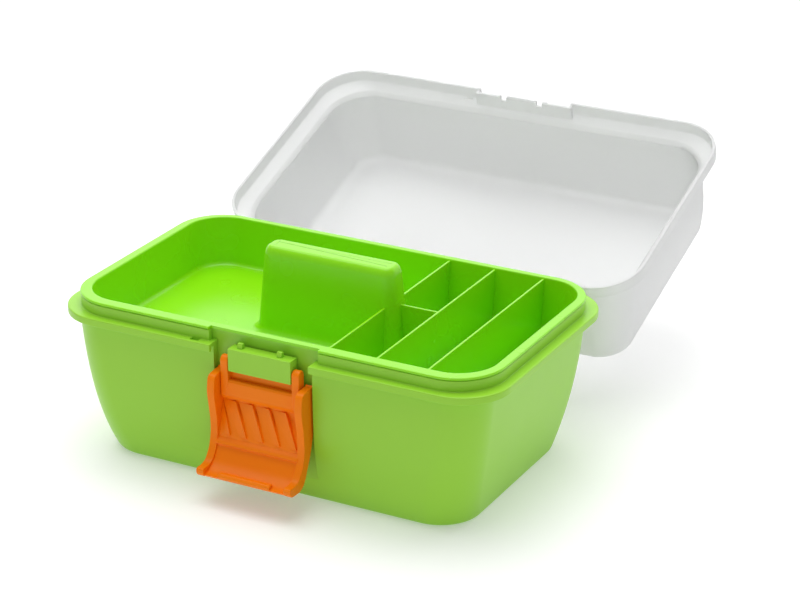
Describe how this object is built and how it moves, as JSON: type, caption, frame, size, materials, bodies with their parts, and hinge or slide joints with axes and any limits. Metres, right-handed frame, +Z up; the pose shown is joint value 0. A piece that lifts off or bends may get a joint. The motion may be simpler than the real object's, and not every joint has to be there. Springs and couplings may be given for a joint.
{
  "type": "sewing box",
  "caption": "Plastic sewing box with a tapered tub, hinged translucent lid, over-the-rim front latch and a lift-out divided tray with a moulded grip.",
  "frame": {"origin": "centre of the tub's flat underside", "axes": "+Z up, -Y towards the front latch, +Y towards the hinge, +X to the right along the box's length"},
  "size_m": [0.313, 0.4106, 0.155],
  "materials": {
    "tub_plastic": "gloss",
    "tray_plastic": "gloss",
    "lid_plastic": "satin",
    "latch_plastic": "satin",
    "pin_steel": "satin"
  },
  "bodies": {
    "box": {"tub": "tub_plastic", "hinge_pin_left": "pin_steel", "hinge_pin_right": "pin_steel"},
    "tray_body": {"tray": "tray_plastic"},
    "lid_body": {"lid": "lid_plastic"},
    "link_body": {"latch_link": "latch_plastic"},
    "lever_body": {"latch_lever": "latch_plastic"}
  },
  "joints": [
    {"name": "lid_hinge", "type": "hinge", "parent": "box", "child": "lid_body", "pos_m": [0, 0.1003, 0.0949], "axis": [-1, 0, 0], "range_deg": [-160.6, 0]},
    {"name": "tray_lift", "type": "slide", "parent": "box", "child": "tray_body", "axis": [0, 0, 1], "range_m": [0, 0.104]},
    {"name": "latch_link_swing", "type": "hinge", "parent": "box", "child": "link_body", "pos_m": [0, -0.0883, 0.0894], "axis": [-1, 0, 0], "range_deg": [0, 155]},
    {"name": "latch_lever_pivot", "type": "hinge", "parent": "link_body", "child": "lever_body", "pos_m": [0, -0.0883, 0.0749], "axis": [-1, 0, 0], "range_deg": [-155, 0]}
  ],
  "couplings": [
    {"joint": "latch_lever_pivot", "follows": "latch_link_swing", "ratio": -1}
  ]
}
